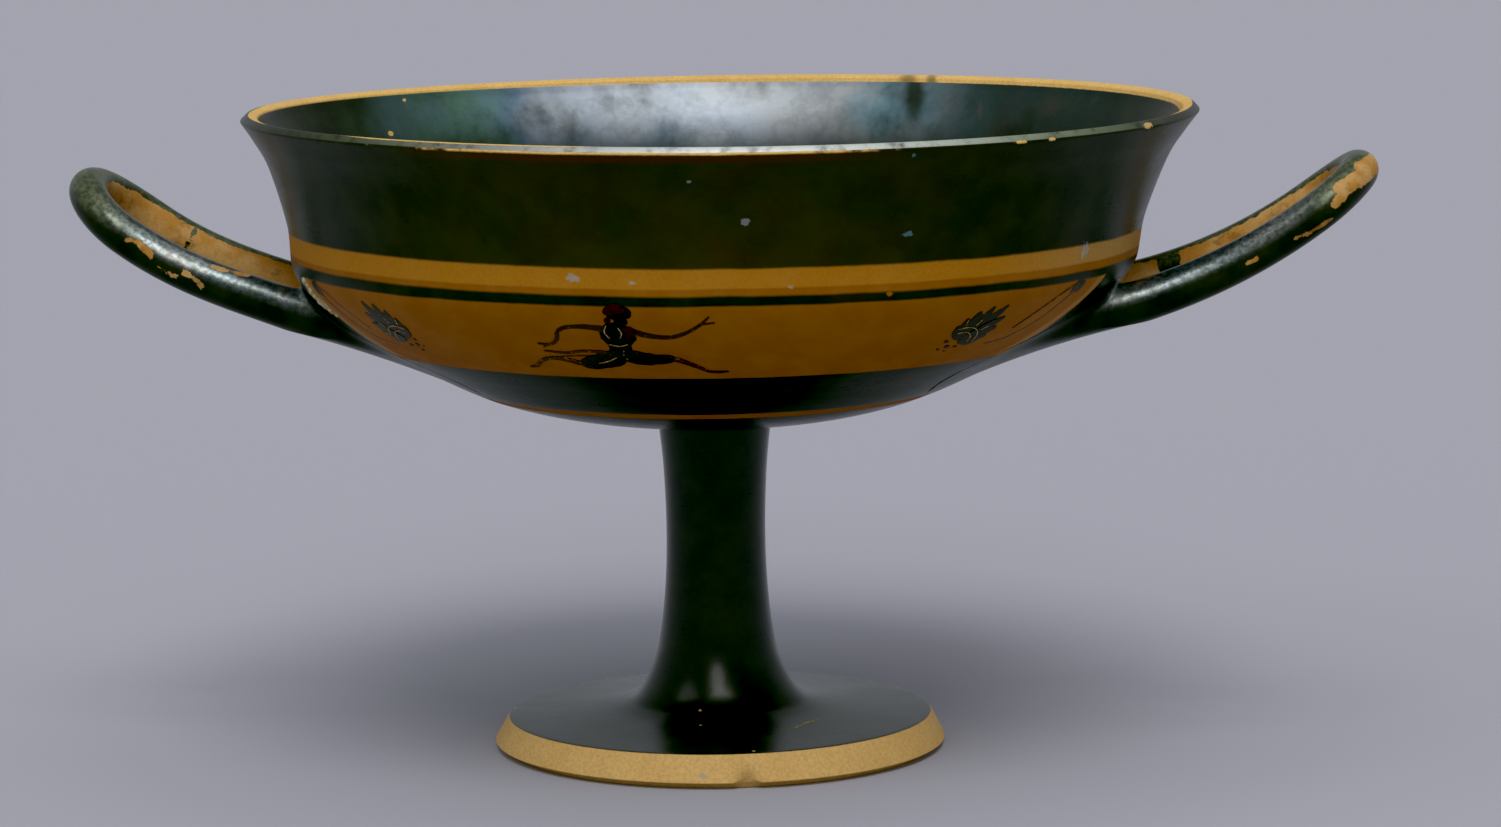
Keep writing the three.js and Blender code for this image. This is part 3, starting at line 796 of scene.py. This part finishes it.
for name, (azimuth, height, turn, side) in PALMETTES.items():
    fan, lines = Brush(azimuth, height, turn, side), Brush(azimuth, height, turn, side)
    for leaf in range(LEAVES):
        way = math.radians(LEAF_SPREAD * (2 * leaf / (LEAVES - 1) - 1))
        long = 13 - 6.4 * abs(way)
        fan.stroke(fanned(way, [(0.6, 0.6), (long * 0.62, 1.4), (long, 0.35)], 1.4), SLIP_LIFT, 0.05)
    for right, up, size in DABS:
        dab = [(right - size, up, size * 0.6), (right + size, up + 0.3, size * 0.7)]
        fan.stroke(dab, SLIP_LIFT, 0.35)
    for radius in HEART_ARCS:
        arc = [fanned(way, [(radius, 0.085)], 1.6)[0] for way in np.radians(ARC_DEGREES)]
        lines.stroke(arc, LINE_LIFT)
    for way in (-0.8, -0.27, 0.27, 0.8):
        lines.stroke(fanned(way, [(5.6, 0.07), (7.4, 0.07)], 1.4), LINE_LIFT)
    fan.done("palmette_" + name, "figures", figure_slip)
    lines.done("palmette_lines_" + name, "clay", scratched)

TENDRILS = {  # azimuth, which way it faces
    "front_left": (-149, -1), "front_right": (-31, 1), "back_left": (149, 1), "back_right": (31, -1),
}
TENDRIL_STROKES = [  # the bud, its stalk and a thinner one above it
    ([(1.6, 3.6, 0.5), (4.0, 5.0, 1.7), (6.0, 5.4, 0.6)], 0.2),
    ([(3.4, 4.6, 0.35), (0.6, 0.8, 0.34), (-2.8, -4.2, 0.3), (-8.6, -9.2, 0.34), (-15, -10.6, 0.26)], 0.8),
    ([(2.6, 5.6, 0.25), (-1.8, 3.6, 0.25), (-6.2, -0.4, 0.24), (-10.4, -5.6, 0.2)], 0.9),
]
for name, (azimuth, side) in TENDRILS.items():
    tendril = Brush(azimuth, 103.5, 0, side)
    for points, thin_there in TENDRIL_STROKES:
        tendril.stroke(points, SLIP_LIFT, thin_there)
    tendril.done("tendril_" + name, "figures", figure_slip)


# A scratch across the top of the foot, through the slip to the clay. It is laid on as the painted lines are,
# because it is too fine to be cut into the foot.
scratch = Brush(-45, 8.55)
scratch.stroke([(-4.8, -1.1, 0.14), (0.4, 1.2, 0.24), (4.3, 1.4, 0.14)], 0.02)
scratch.done("foot_scratch", "clay", scratched)


# Cream filler, a gritty paste pressed by hand into the joint of the left handle at some later repair. It
# stands a little proud in flattened lumps.
FILLER = [  # middle and radius of each lump
    ((-84.9, -36.4, 107.6), 1.2), ((-84.2, -37.2, 106.7), 1.0), ((-83.4, -37.9, 105.6), 1.5),
    ((-82.6, -38.1, 104.6), 1.2), ((-81.6, -38.6, 103.7), 1.4), ((-80.3, -39.4, 102.9), 1.6),
    ((-79.2, -39.9, 101.9), 1.2), ((-77.8, -40.2, 100.9), 0.8),
]
FLATTENED = 0.55
filler_finish = Finish("cream_filler")
grit = filler_finish.noise(0.9, 4, 0.6)
filler_material = filler_finish.done(filler_finish.node("ShaderNodeBsdfPrincipled", {}, {
    "Base Color": filler_finish.mix(grit.rise(0.35, 0.65), (0.66, 0.58, 0.36), (0.34, 0.27, 0.13)),
    "Roughness": 0.8, "Specular IOR Level": 0.2}))
mesh = bmesh.new()
for middle, size in FILLER:
    middle = np.array([middle])
    for _ in range(3):
        middle = middle - off_bowl(middle)[:, None] * out_of_bowl(middle)
    outwards = Vector(out_of_bowl(middle)[0])
    lump = bmesh.ops.create_icosphere(mesh, subdivisions=3, radius=size * MM)
    for spot in lump["verts"]:
        spot.co *= 1 + 0.3 * noise.noise(spot.co * 700 + Vector(middle[0]))
        spot.co -= outwards * spot.co.dot(outwards) * FLATTENED
        spot.co += Vector(middle[0]) * MM
filler_mesh = bpy.data.meshes.new("joint_filler")
mesh.to_mesh(filler_mesh)
mesh.free()
filler_mesh.shade_smooth()
filler_mesh.materials.append(filler_material)
joint_filler = bpy.data.objects.new("joint_filler", filler_mesh)
bpy.context.collection.objects.link(joint_filler)
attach(joint_filler, "root")
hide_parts("kylix_cup")


# The floor and the light, which aren't part of the cup: a plain pale floor, a broad soft light high in
# front with a weaker one below it, a very broad one overhead and a weak one at the side, and a glow from
# all round that is stronger low down.
floor_finish = Finish("pale_floor")
floor_mesh = bpy.data.meshes.new("floor")
mesh = bmesh.new()
bmesh.ops.create_grid(mesh, x_segments=1, y_segments=1, size=40)
mesh.to_mesh(floor_mesh)
mesh.free()
floor_mesh.materials.append(floor_finish.done(floor_finish.node("ShaderNodeBsdfPrincipled", {}, {
    "Base Color": (0.475, 0.475, 0.54, 1), "Roughness": 0.9, "Specular IOR Level": 0.1})))
floor = bpy.data.objects.new("floor", floor_mesh)
bpy.context.collection.objects.link(floor)
floor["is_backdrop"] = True


def soft_sun(name, strength, wide, azimuth, elevation, colour):
    lamp = bpy.data.lights.new(name, "SUN")
    lamp.energy, lamp.angle, lamp.color = strength, math.radians(wide), colour
    holder = bpy.data.objects.new(name, lamp)
    holder.rotation_euler = (math.radians(90 - elevation), 0, math.radians(azimuth))
    bpy.context.collection.objects.link(holder)


soft_sun("front_light", 1.05, 30, 10, 58, (1, 0.99, 0.97))
soft_sun("low_light", 0.3, 20, 4, 36, (1, 1, 0.99))
soft_sun("top_light", 0.68, 60, 60, 84, (1, 1, 0.98))
soft_sun("side_light", 0.16, 25, -55, 45, (0.93, 0.97, 1))
world = bpy.data.worlds.new("glow")
world.use_nodes = True
sky = world.node_tree
level = sky.nodes.new("ShaderNodeSeparateXYZ")
sky.links.new(sky.nodes.new("ShaderNodeTexCoord").outputs["Generated"], level.inputs[0])
fade = sky.nodes.new("ShaderNodeMapRange")
for key, value in {"From Min": 0.3, "From Max": 0.6, "To Min": 0.95, "To Max": 0.45}.items():
    fade.inputs[key].default_value = value
sky.links.new(level.outputs["Z"], fade.inputs["Value"])
sky.nodes["Background"].inputs["Color"].default_value = (0.36, 0.37, 0.41, 1)
sky.links.new(fade.outputs["Result"], sky.nodes["Background"].inputs["Strength"])
scene = bpy.context.scene
scene.world = world
scene.view_settings.view_transform = "Standard"
scene.view_settings.use_curve_mapping = True
scene.view_settings.curve_mapping.black_level = (0.016, 0.012, 0.015)
scene.view_settings.curve_mapping.update()


# The camera, a metre away and above the rim. It looks a little down into the cup, and is turned round it so
# that the right handle comes forward.
AWAY, EYE_HEIGHT, ROUND_CUP = 1.0403, 0.22067, 0.0925
LOOKS_DOWN, LOOKS_ASIDE, ROLLED = 0.13997, -0.007095, -0.009267  # radians
lens = bpy.data.cameras.new("camera")
lens.lens, lens.sensor_width, lens.clip_end = 113.74, 36, 100
camera = bpy.data.objects.new("camera", lens)
stand = Matrix.Rotation(ROUND_CUP, 4, "Z") @ Matrix.Translation((0, -AWAY, EYE_HEIGHT))
head = Matrix.Rotation(LOOKS_ASIDE, 4, "Z") @ Matrix.Rotation(math.pi / 2 - LOOKS_DOWN, 4, "X")
camera.matrix_world = stand @ head @ Matrix.Rotation(ROLLED, 4, "Z")
bpy.context.collection.objects.link(camera)
scene.camera = camera

low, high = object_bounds()
